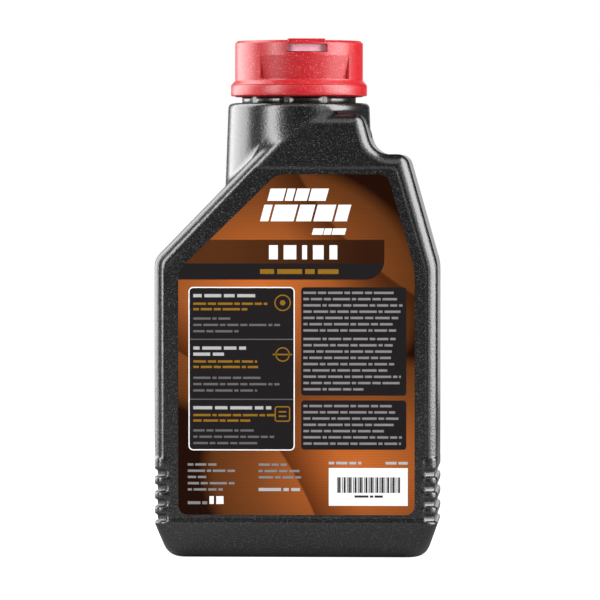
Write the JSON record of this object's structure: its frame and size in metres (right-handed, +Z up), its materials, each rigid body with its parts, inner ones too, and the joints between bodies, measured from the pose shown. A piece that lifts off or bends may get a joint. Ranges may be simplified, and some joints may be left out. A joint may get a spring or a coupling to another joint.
{
  "type": "motor oil bottle",
  "caption": "Flat blow-moulded oil bottle with an offset round neck on sloping shoulders, side finger ribs, a printed panel and a screw cap over a break-off band.",
  "frame": {"origin": "middle of the base, on the surface the bottle stands on", "axes": "+Z up along the neck, -Y out of the labelled face, +X towards the steep shoulder, on the right when the label is read"},
  "size_m": [0.1166, 0.0606, 0.2134],
  "materials": {
    "black_body": "fine-grained satin",
    "label_print": "glossy film",
    "red_cap": "satin",
    "pale_seal": "milky"
  },
  "bodies": {
    "bottle_body": {"bottle": "black_body", "back_label": "label_print", "tamper_band": "red_cap"},
    "seal_carrier": {"inner_seal": "pale_seal"},
    "cap_shell": {"cap": "red_cap"}
  },
  "joints": [
    {"name": "cap_rise", "type": "slide", "parent": "bottle_body", "child": "seal_carrier", "axis": [0, 0, 1], "range_m": [0, 0.01605]},
    {"name": "cap_turn", "type": "hinge", "parent": "seal_carrier", "child": "cap_shell", "pos_m": [0, 0, 0.203], "axis": [0, 0, 1], "range_deg": [0, 720]}
  ],
  "couplings": [
    {"joint": "cap_rise", "follows": "cap_turn", "m_per_rad": 0.0012732}
  ]
}
